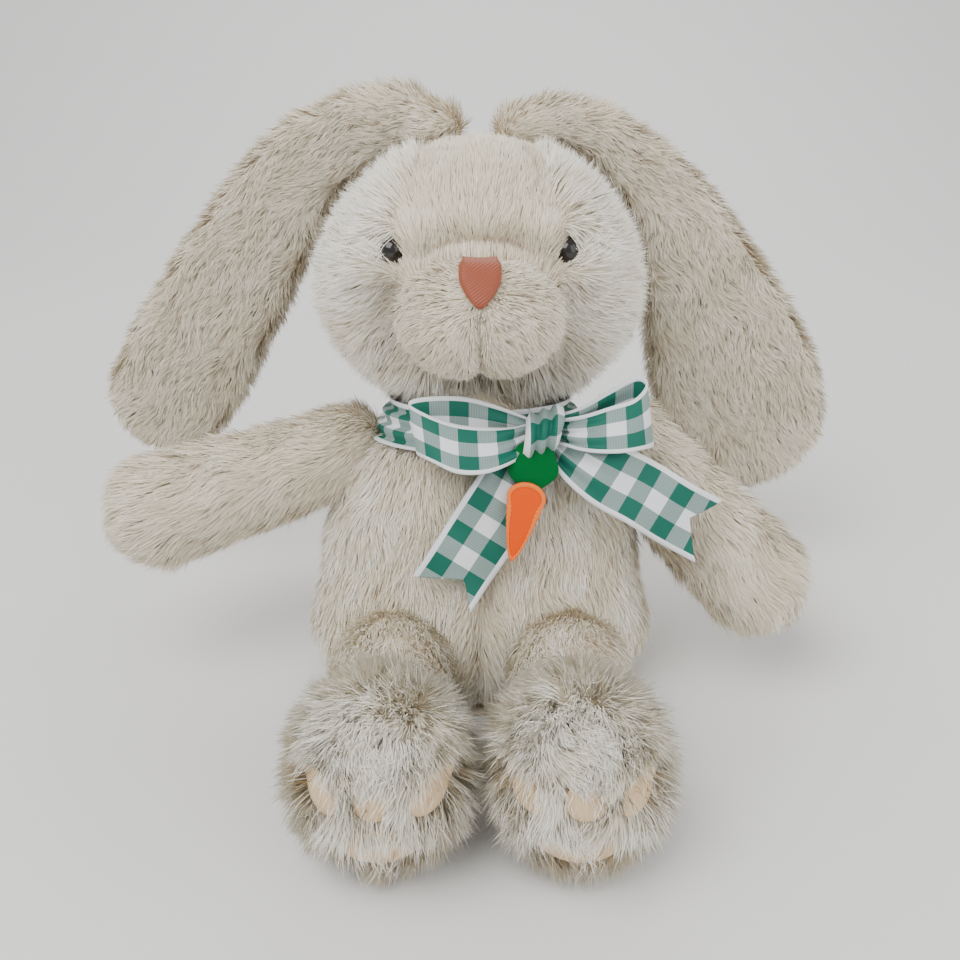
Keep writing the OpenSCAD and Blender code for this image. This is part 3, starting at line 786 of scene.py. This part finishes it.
def tube(name, start, way, r0, r1, reach, inset):
    """A round-ended limb from its root ball to its far end."""
    way = Vector(way).normalized()
    side = way.cross(Vector((0, 0, 1))).normalized() if abs(way.z) < 0.95 else Vector((1, 0, 0))
    up = side.cross(way)
    basis = np.array([side, up, way])

    def place(u):
        x, y, z = u.T
        t = np.arcsin(np.clip(z, -1, 1)) / (math.pi / 2)
        root, far = t < -CAP_SHARE, t > CAP_SHARE
        past = np.where(root, t + CAP_SHARE, np.where(far, t - CAP_SHARE, 0))
        ang = past / (1 - CAP_SHARE) * math.pi / 2
        k = np.clip((t + CAP_SHARE) / (2 * CAP_SHARE), 0, 1)
        base = np.where(root, r0, np.where(far, r1, r0 + (r1 - r0) * k * k * (3 - 2 * k))) - inset
        r = base * np.cos(ang)
        h = reach * k + base * np.sin(ang)
        ring = np.maximum(np.hypot(x, y), 1e-6)
        return np.stack([x / ring * r, y / ring * r, h], 1) @ basis + np.array(start)

    o = ball(name, place, 64, 56)
    fix_normals(o)
    return o


ARM_SAG = {LEFT: 0.09, RIGHT: 0.0}  # the soft left arm hangs a little lower than its CAD form
SHOULDER_SINK = 12 * MM  # how far an arm's sewn root reaches in past its joint
ARM_REACH = 62 * MM  # from the joint to the middle of the paw's round end
ARM_R, PAW_R, ARM_INSET = 19.5 * MM, 22.5 * MM, 4.5 * MM


class RABBIT_OT_arms(RabbitPiece, bpy.types.Operator):
    """Arms: thick tubes ending in a shaggier rounded paw"""
    bl_idname = "rabbit.arms"
    bl_label = "Arms"

    def build(self, pile, trim):
        for side, word in SIDES.items():
            joint = joint_at(f"{word}_shoulder_lift")
            way = (middle(f"{word}_arm_stuffing") - joint).normalized()
            way = (way - Vector((0, 0, ARM_SAG[side]))).normalized()
            start = joint - way * SHOULDER_SINK
            reach = ARM_REACH + SHOULDER_SINK
            skin = tube(f"{word}_arm_skin", start, way, ARM_R, PAW_R, reach, ARM_INSET)
            skinned(skin, f"{word}_arm", [f"{word}_arm_cover", f"{word}_arm_stuffing"])

            def comb(p, n):
                return np.tile(np.array(way), (len(p), 1)) + np.array([0, 0, -0.25])

            def far(p):
                return ((p - np.array(start)) @ np.array(way)) / reach

            # The arms take the darker tones, painted shade
            grow(f"{word}_arm_pile", skin, f"{word}_arm", comb, 46000, pile.long_pile, lift=24,
                 clump=5.0, sway=0.1, gather=0.16, keep=lambda p: far(p) > -0.25,
                 scale=lambda p: 0.85 + 0.25 * ramp(far(p), 0.5, 1.1), tones=SHADED_TONES)


LEG_ROOT_R, LEG_END_R, LEG_REACH, LEG_INSET = 27 * MM, 25 * MM, 45 * MM, 7 * MM
FOOT_INSET = 7.5 * MM
TOE_PAD, SOLE_PAD = (6.6 * MM, 6 * MM), (16.5 * MM, 10.5 * MM)  # half width and half height
PAD_DRAW = 0.88  # the pads lie on the skin, nearer the foot's middle than the fur's face
PAD_LIFT, PAD_HALF_T = 4.2 * MM, 1.4 * MM


class RABBIT_OT_legs(RabbitPiece, bpy.types.Operator):
    """Legs and their big shaggy feet"""
    bl_idname = "rabbit.legs"
    bl_label = "Legs and feet"

    def build(self, pile, trim):
        for word in SIDES.values():
            start = joint_at(f"{word}_hip_flex")
            lo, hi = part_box(f"{word}_foot_cover")
            foot = Vector(((lo.x + hi.x) / 2, lo.y + (hi.x - lo.x) / 2, (lo.z + hi.z) / 2))
            way = (foot - start).normalized()
            skin = tube(f"{word}_leg_skin", start, way, LEG_ROOT_R, LEG_END_R, LEG_REACH,
                        LEG_INSET)
            skinned(skin, f"{word}_leg", [f"{word}_leg_cover", f"{word}_leg_stuffing"])

            def comb(p, n):
                return np.tile(np.array(way), (len(p), 1))

            def keep_leg(p):
                along = (p - np.array(start)) @ np.array(way)
                off_foot = np.linalg.norm(p - np.array(foot), axis=1) > 0.032
                return (along > -0.014) & (p[:, 2] > 0.006) & off_foot

            grow(f"{word}_leg_pile", skin, f"{word}_leg", comb, 13000, pile.torso_pile * 0.9, lift=18,
                 clump=5, gather=0.14, sway=0.1, keep=keep_leg)
            size = np.array([(hi.x - lo.x) / 2, (hi.x - lo.x) / 2, (hi.z - lo.z) / 2]) - FOOT_INSET
            centre = np.array(foot)
            foot_skin = ball(f"{word}_foot_skin", lambda u: u * size + centre, 72, 48)
            skinned(foot_skin, f"{word}_leg", [f"{word}_foot_cover", f"{word}_foot_stuffing"])
            ankle = centre + np.array([0, size[1] * 1.1, size[2] * 0.2])

            def foot_comb(p, n):
                return unit(p - ankle) + np.array([0, 0, -0.1])

            pads = self.pads(word, centre, size)

            def foot_keep(p):
                share = np.ones(len(p))
                for at, half in pads:
                    away = np.hypot((p[:, 0] - at[0]) / half[0], (p[:, 2] - at[2]) / half[1])
                    share *= np.where(p[:, 1] < centre[1], 0.04 + 0.96 * ramp(away, 0.9, 1.3), 1)
                return share

            for part in (LEFT, RIGHT):
                # The feet take the paler tones, painted light
                grow(f"{word}_foot_pile_{SIDES[part]}", foot_skin, f"{word}_leg", foot_comb, 29000,
                     pile.foot_pile, lift=48, clump=5, sway=0.2, gather=0.16, stray=0.18, swirl=0.55,
                     keep=lambda p: foot_keep(p) * ((p[:, 0] - foot.x) * part > 0),
                     tones=LIT_TONES)

    def pads(self, word, centre, size):
        """Suede pads let into the sole; gives each one's place and half sizes."""
        found = []
        for key, half in (("toe_pad_inner", TOE_PAD), ("toe_pad_middle", TOE_PAD),
                          ("toe_pad_outer", TOE_PAD), ("sole_pad", SOLE_PAD)):
            node = f"{word}_{key}"
            at = (np.array(middle(node)) - centre) * PAD_DRAW + centre

            def place(u):
                x, z = at[0] + u[:, 0] * half[0], at[2] + u[:, 2] * half[1]
                fall = 1 - ((x - centre[0]) / size[0]) ** 2 - ((z - centre[2]) / size[2]) ** 2
                y = centre[1] - size[1] * np.sqrt(np.maximum(fall, 0.02))
                return np.stack([x, y - PAD_LIFT + u[:, 1] * PAD_HALF_T, z], 1)

            o = ball(f"{word}_{key}_suede", place, 32, 20, "pad")
            stand_for(o, f"{word}_leg", [node])
            found.append((at, half))
        return found


TAIL_R, TAIL_PILE = 12.5 * MM, 10.5 * MM


class RABBIT_OT_tail(RabbitPiece, bpy.types.Operator):
    """Tail: a round pompom"""
    bl_idname = "rabbit.tail"
    bl_label = "Tail"

    def build(self, pile, trim):
        centre = np.array(middle("tail_cover"))
        skin = ball("tail_skin", lambda u: u * TAIL_R + centre, 40, 28)
        skinned(skin, "tail", ["tail_cover", "tail_stuffing"])
        grow("tail_pile", skin, "tail", lambda p, n: p - centre + np.array([0, 0, -0.01]), 12000,
             TAIL_PILE, lift=65, clump=4.0, sway=0.25)


class RABBIT_OT_eyes(RabbitPiece, bpy.types.Operator):
    """Eyes: small polished domes sunk in the fur"""
    bl_idname = "rabbit.eyes"
    bl_label = "Eyes"

    def build(self, pile, trim):
        for word in SIDES.values():
            o = frame["nodes"][f"{word}_eye"]
            cover_with(o, "eye")
            for poly in o.data.polygons:
                poly.use_smooth = True


NOSE_HALF = (7.2 * MM, 9.0 * MM)
NOSE_RISE = 2.6 * MM  # the padded embroidery's height over the muzzle's cloth
NOSE_THREAD = 0.95 * MM
NOSE_GROOVE = 0.34 * MM
NOSE_SLANT = math.radians(52)


class RABBIT_OT_nose(RabbitPiece, bpy.types.Operator):
    """Nose: a padded shield covered in slanting satin stitches"""
    bl_idname = "rabbit.nose"
    bl_label = "Nose"

    def build(self, pile, trim):
        muzzle = head_along() - MUZZLE_DROP
        centre = spine_height("embroidered_nose")
        unselect()
        bpy.ops.mesh.primitive_grid_add(x_subdivisions=120, y_subdivisions=120, size=2)
        o = named("nose_stitches", "nose")
        u, v = coords(o)[:, :2].T
        high = (v + 1) / 2
        spread = np.sin(np.pi / 2 * np.minimum(high / 0.65, 1)) ** 0.8
        spread *= 1 - 0.22 * ramp(high, 0.8, 1.0)
        x = u * NOSE_HALF[0] * (0.06 + 0.94 * spread)
        s = centre + (v - 0.06 * (1 - u * u) * (v > 0) * v) * NOSE_HALF[1]
        fall = 1 - (x / MUZZLE_HALF[0]) ** 2 - ((s - muzzle) / MUZZLE_HALF[2]) ** 2
        front = MUZZLE_DEEP - (MUZZLE_HALF[1] - 3 * MM) * np.sqrt(np.maximum(fall, 0.03))
        rim = np.maximum(np.abs(u), np.abs(v))
        edge = np.sqrt(np.maximum(1 - rim ** 6, 0))
        cross = x * math.cos(NOSE_SLANT) - s * math.sin(NOSE_SLANT)
        thread = np.abs(np.sin(np.pi * cross / NOSE_THREAD)) ** 0.6
        set_coords(o, lean_array(x, front - NOSE_RISE * edge - NOSE_GROOVE * thread * edge, s))
        modify(o, "SOLIDIFY", thickness=1.2 * MM, offset=-1)
        fix_normals(o)
        bpy.ops.object.shade_smooth()
        stand_for(o, "head", ["embroidered_nose"])


def spine_height(node):
    """How far up the spine the middle of a CAD node lies."""
    return float(unlean(np.array([middle(node)]))[2][0])


# ---------------------------------------------------------------- the bow

ACROSS, ALONG = 20, 90  # a ribbon's mesh
PLEATS = 3
BAND_LOW, BAND_HIGH = (43, 45), (35, 36)  # half sizes of the band's lower and upper edge
BAND_FOOT, BAND_H, BAND_CLIMB = 97, 15, 4

# Each row of a ribbon: its middle, the vector across it, and the depth of its pleats, in the
# spine's own across, deep and along millimetres
RIGHT_LOOP = (
    (17.5, -50, 104.5, 0, -1, -9, 1.5), (11, -54, 102, 1, -6, -12, 0.8),
    (2, -57.5, 100.5, 1, -10, -15, 0.1), (-8, -58, 101, 1, -12, -16, 0),
    (-17, -55, 104, 2, -9, -16, 0), (-24, -50, 107.5, 3, -2, -18, 0), (-19, -46, 109, 1, 4, -19, 0),
    (-6, -45, 108.5, 0, 3, -20, 0), (6, -46, 107.5, 0, 3, -16, 0.5),
    (17.5, -47, 106.5, 0, 1, -9, 1.3))
LEFT_LOOP = (
    (27.5, -50, 106.5, 0, 1, -8, 1.5), (36, -54, 106, 0, -4, -12, 0.8),
    (46, -57, 107.5, 0, -5, -16, 0.2), (55, -56, 109.3, 1, -4, -18, 0),
    (60.5, -51, 112.5, 3, 2, -22, 0), (56.5, -46, 115.5, 1, 6, -21, 0),
    (47, -45, 112.5, 0, 5, -17, 0.3), (37, -46, 109, 0, 4, -12, 0.8),
    (27.5, -47, 107.5, 0, 1, -8, 1.3))
RIGHT_TAIL = (
    (19, -48, 103, 9, 0, -5, 1.6), (14, -51, 95, 16, 0, -9, 1.0), (7, -53.5, 80, 21, 2, -13.5, 0.2),
    (-1, -52, 67, 21.3, -2, -13, 0), (-7.5, -52.5, 57, 21, 3, -13.5, 0),
    (-14, -54.5, 47.5, 21, -3, -13, 0))
LEFT_TAIL = (
    (25.5, -48, 103.5, -5, 0, -8, 1.6), (35, -51.5, 97.5, -10, 1, -16, 0.9),
    (46, -55, 91, -12, 3, -20.5, 0.2), (58, -52.5, 84.5, -12, -4, -21, 0),
    (70, -51.5, 77, -12, 3, -21.5, 0), (83, -50, 70, -10, -3, -22.5, 0))
KNOT = (
    (22.5, -44, 112, 12, 0, 4, 0.7), (22.8, -50, 113.5, 13, 0, 4.5, 0.9),
    (22.8, -56.5, 110, 13.5, 0, 4.5, 1.0), (22.3, -58, 105, 13, 0, 4.5, 1.0),
    (21.6, -54.5, 99.5, 12.5, 0, 4, 0.9), (21.5, -46, 99, 12, 0, 4, 0.7))


def spline(rows, count=240):
    """Evenly spaced rows on a smooth curve through the given ones, and the curve's length."""
    p = np.array(rows, float)
    pad = np.concatenate([[2 * p[0] - p[1]], p, [2 * p[-1] - p[-2]]])
    t = np.linspace(0, len(p) - 1, 40 * len(p))
    i = np.minimum(t.astype(int), len(p) - 2)
    f = (t - i)[:, None]
    a, b, c, d = (pad[i + k] for k in range(4))
    fine = (2 * b + (c - a) * f + (2 * a - 5 * b + 4 * c - d) * f ** 2
            + (3 * b - a - 3 * c + d) * f ** 3) / 2
    gone = np.concatenate([[0], np.cumsum(np.linalg.norm(np.diff(fine[:, :3], axis=0), axis=1))])
    even = np.linspace(0, gone[-1], count)
    return np.stack([np.interp(even, gone, fine[:, k]) for k in range(p.shape[1])], 1), gone[-1]


def ribbon(name, rows, nodes, notch=0.0, notch_at=0.5, phase=0.0, shown=(0, 1)):
    """A pleated ribbon through rows of millimetres, with a V notch in its end."""
    trim = bpy.context.scene.rabbit_trim
    unselect()
    bpy.ops.mesh.primitive_grid_add(x_subdivisions=ACROSS, y_subdivisions=ALONG, size=2)
    o = named(name, "gingham")
    u, v = (coords(o)[:, :2].T + 1) / 2
    path, reach = spline(rows)
    peak = np.minimum(u / notch_at, (1 - u) / (1 - notch_at))
    at = v * (1 - notch / reach * peak)
    k = at * (len(path) - 1)
    row = np.stack([np.interp(k, range(len(path)), column) for column in path.T], 1)
    slope = np.gradient(path[:, :3], axis=0)
    tangent = np.stack([np.interp(k, range(len(path)), column) for column in slope.T], 1)
    across = row[:, 3:6]
    normal = unit(np.cross(across, tangent))
    wave = row[:, 6:7] * np.cos(2 * np.pi * PLEATS * u)[:, None]
    set_coords(o, lean_array(*((row[:, :3] + (u - 0.5)[:, None] * across + normal * wave) * MM).T))
    loop = np.empty(len(o.data.loops), np.int32)
    o.data.loops.foreach_get("vertex_index", loop)
    widths = at * reach * MM / trim.ribbon_w + phase
    uv = np.stack([shown[0] + (shown[1] - shown[0]) * u, widths], 1)[loop]
    o.data.uv_layers["UVMap"].data.foreach_set("uv", uv.astype(np.float32).ravel())
    modify(o, "SOLIDIFY", thickness=trim.ribbon_t, offset=0)
    bpy.ops.object.shade_smooth()
    stand_for(o, "torso", nodes)


class RABBIT_OT_bow(RabbitPiece, bpy.types.Operator):
    """Bow: a band round the neck, two loops, two notched tails and a pleated knot"""
    bl_idname = "rabbit.bow"
    bl_label = "Gingham bow"

    def build(self, pile, trim):
        band = []
        for degrees in range(30, 391, 15):
            a = math.radians(degrees)
            foot = BAND_FOOT + BAND_CLIMB * (1 - math.cos(a))
            low = np.array([BAND_LOW[0] * math.sin(a), -BAND_LOW[1] * math.cos(a), foot])
            high = np.array([BAND_HIGH[0] * math.sin(a), -BAND_HIGH[1] * math.cos(a), foot + BAND_H])
            band.append((*((low + high) / 2), *(low - high), 1.3))
        ribbon("bow_band", band, ["ribbon_neck_band"], phase=0.1)
        ribbon("bow_loop_rabbit_right", RIGHT_LOOP, ["bow_loop_right"], phase=0.3)
        ribbon("bow_loop_rabbit_left", LEFT_LOOP, ["bow_loop_left"], phase=0.1)
        ribbon("bow_tail_rabbit_right", RIGHT_TAIL, ["bow_tail_right"],
               notch=9, notch_at=0.66, phase=0.12)
        ribbon("bow_tail_rabbit_left", LEFT_TAIL, ["bow_tail_left"],
               notch=9, notch_at=0.45, phase=0.3)
        ribbon("bow_wrap", KNOT, ["bow_knot"], phase=0.05, shown=(0.02, 0.42))


# ---------------------------------------------------------------- the charm

FELT_T = 1.6 * MM
LEAF_R = 8.8 * MM
LEAF_LOBES = 5
ROOT_W, ROOT_L, ROOT_TOP = 13.8 * MM, 23.5 * MM, 5.4 * MM
ROOT_DOWN = 11.4 * MM  # from the leaf's middle to the root's widest line
CHARM_LEAN = math.radians(13)
STITCHES = 62
STITCH_HALF = 1.1 * MM


def leaf_outline(a):
    r = LEAF_R * (1 + 0.05 * np.cos(LEAF_LOBES * a + 0.5))
    return np.stack([r * np.cos(a), r * np.sin(a)], -1)


def root_outline(a):
    """The root's edge: a low dome above, a full taper to its point below."""
    down = np.maximum(-np.sin(a), 0) ** 1.25
    x = np.where(np.sin(a) > 0, np.cos(a), np.sign(np.cos(a)) * (1 - down) ** 0.6)
    y = np.where(np.sin(a) > 0, ROOT_TOP * np.sin(a), -ROOT_L * down)
    return np.stack([ROOT_W / 2 * x, y - ROOT_DOWN], -1)


def on_charm(flat, rise):
    """Places on the charm: across and up its face, and out of it."""
    pivot = np.array(joint_at("carrot_swing"))
    x = flat[:, 0] * math.cos(CHARM_LEAN) + flat[:, 1] * math.sin(CHARM_LEAN)
    s = -flat[:, 0] * math.sin(CHARM_LEAN) + flat[:, 1] * math.cos(CHARM_LEAN)
    return lean_array(x, -rise, s) + pivot


class RABBIT_OT_charm(RabbitPiece, bpy.types.Operator):
    """Charm: a felt carrot root sewn over its leafy top, with satin stitches round its edge"""
    bl_idname = "rabbit.charm"
    bl_label = "Carrot charm"

    def build(self, pile, trim):
        def felt(name, outline, hub, low, look, node):
            def place(u):
                ring = np.hypot(u[:, 0], u[:, 1])[:, None]
                edge = outline(np.arctan2(u[:, 1], u[:, 0]))
                rise = low + FELT_T / 2 * (1 + np.sign(u[:, 2]) * np.abs(u[:, 2]) ** 0.45)
                return on_charm(hub + (edge - hub) * ring, rise)
            o = ball(name, place, 96, 32, look)
            fix_normals(o)
            stand_for(o, "carrot", [node])

        felt("leaf_felt", leaf_outline, np.zeros(2), 0.0, "leaf", "carrot_top")
        root_hub = np.array([0, -ROOT_DOWN])
        felt("root_felt", root_outline, root_hub, FELT_T, "carrot", "carrot_root")
        unselect()
        bpy.ops.mesh.primitive_torus_add(major_segments=STITCHES * 8, minor_segments=8,
                                         major_radius=1, minor_radius=0.25)
        o = named("root_stitches", "stitch")
        p = coords(o)
        around, out = np.arctan2(p[:, 1], p[:, 0]), (np.hypot(p[:, 0], p[:, 1]) - 1) * 4
        edge = root_outline(around)
        inward = unit(root_hub + np.array([0, -4 * MM]) - edge)
        ridge = 0.6 + 0.4 * np.abs(np.sin(STITCHES * around / 2))
        flat = edge + inward * (STITCH_HALF * 0.75 - out * STITCH_HALF * ridge)[:, None]
        set_coords(o, on_charm(flat, 2 * FELT_T - 0.1 * MM + p[:, 2] * 4 * 0.42 * MM * ridge))
        fix_normals(o)
        bpy.ops.object.shade_smooth()
        stand_for(o, "carrot", ["carrot_stitching"])


INSIDE_LOOKS = {"pellet_pouch": "pouch", "seat_panel": "backing", "washer": "washer", "wad": "filling"}


class RABBIT_OT_inside(RabbitPiece, bpy.types.Operator):
    """What the rabbit holds inside: limb wads, pellet pouch, washers, and its seat panel"""
    bl_idname = "rabbit.inside"
    bl_label = "Inside"

    def build(self, pile, trim):
        for name, o in frame["nodes"].items():
            for ending, look in INSIDE_LOOKS.items():
                if name.endswith(ending):
                    cover_with(o, look)


SWEEP_START, SWEEP_RADIUS = 0.7, 0.6  # the floor curves up behind the rabbit
LIT_AT = Vector((0, 0, 0.1))
CAMERA_LENS, CAMERA_FAR, CAMERA_TILT = 40.5, 0.400, math.radians(26)
LOOK_AT = Vector((0, -0.010, 0.095))


class RABBIT_OT_stage(RabbitPiece, bpy.types.Operator):
    """Floor and lights"""
    bl_idname = "rabbit.stage"
    bl_label = "Stage"

    def build(self, pile, trim):
        unselect()
        bpy.ops.mesh.primitive_grid_add(x_subdivisions=2, y_subdivisions=96, size=12)
        floor = named("studio_floor", "floor")
        co = coords(floor)
        over = np.maximum(co[:, 1] - SWEEP_START, 0)
        turn = np.minimum(over / SWEEP_RADIUS, math.pi / 2)
        rest = over - turn * SWEEP_RADIUS
        co[:, 1] = np.minimum(co[:, 1], SWEEP_START) + SWEEP_RADIUS * np.sin(turn)
        co[:, 2] = SWEEP_RADIUS * (1 - np.cos(turn)) + rest
        set_coords(floor, co)
        bpy.ops.object.shade_smooth()
        self.light()

    def light(self):
        """A pale even sky and three soft lamps."""
        world = bpy.data.worlds.new("studio")
        bpy.context.scene.world = world
        world.use_nodes = True
        back = world.node_tree.nodes["Background"]
        back.inputs["Color"].default_value = linear("#e8e8ea")
        back.inputs["Strength"].default_value = 0.85
        for name, at, size, power in (("key", (-0.5, -0.6, 1.1), 0.9, 15),
                                      ("fill", (0.85, -0.6, 0.55), 1.1, 6),
                                      ("rim", (0.1, 0.8, 0.9), 0.8, 5)):
            unselect()
            bpy.ops.object.light_add(type="AREA", location=at)
            light = bpy.context.object
            light.name = name
            light.data.size = size
            light.data.energy = power
            light.rotation_euler = (LIT_AT - Vector(at)).to_track_quat("-Z", "Y").to_euler()


def make_camera():
    """A camera at the viewing angle of a person looking down at a seated toy."""
    data = bpy.data.cameras.new("camera")
    data.lens = CAMERA_LENS
    data.sensor_width = 36
    cam = bpy.data.objects.new("camera", data)
    bpy.context.scene.collection.objects.link(cam)
    way = Vector((0, math.cos(CAMERA_TILT), -math.sin(CAMERA_TILT)))
    cam.location = LOOK_AT - way * CAMERA_FAR
    cam.rotation_euler = way.to_track_quat("-Z", "Y").to_euler()
    data.clip_start = 0.01
    bpy.context.scene.camera = cam


class RABBIT_PT_panel(bpy.types.Panel):
    """Buttons in the 3D view's sidebar"""
    bl_label = "Plush Rabbit"
    bl_idname = "RABBIT_PT_panel"
    bl_space_type = "VIEW_3D"
    bl_region_type = "UI"
    bl_category = "Rabbit"

    def draw(self, context):
        for group in (context.scene.rabbit_pile, context.scene.rabbit_trim):
            box = self.layout.box()
            for key in group.__annotations__:
                box.prop(group, key)
        for cls in PIECES:
            self.layout.operator(cls.bl_idname)


PIECES = (RABBIT_OT_inside, RABBIT_OT_nose, RABBIT_OT_bow, RABBIT_OT_charm, RABBIT_OT_head,
          RABBIT_OT_muzzle, RABBIT_OT_torso, RABBIT_OT_ears, RABBIT_OT_arms, RABBIT_OT_legs,
          RABBIT_OT_tail, RABBIT_OT_eyes, RABBIT_OT_stage)
CLASSES = (RabbitPile, RabbitTrim, *PIECES, RABBIT_PT_panel)


def register():
    for cls in CLASSES:
        bpy.utils.register_class(cls)
    bpy.types.Scene.rabbit_pile = PointerProperty(type=RabbitPile)
    bpy.types.Scene.rabbit_trim = PointerProperty(type=RabbitTrim)


def unregister():
    del bpy.types.Scene.rabbit_trim
    del bpy.types.Scene.rabbit_pile
    for cls in reversed(CLASSES):
        bpy.utils.unregister_class(cls)


def main():
    make_camera()
    register()
    for cls in PIECES:
        getattr(bpy.ops.rabbit, cls.bl_idname.split(".")[1])()


if __name__ == "__main__":
    main()
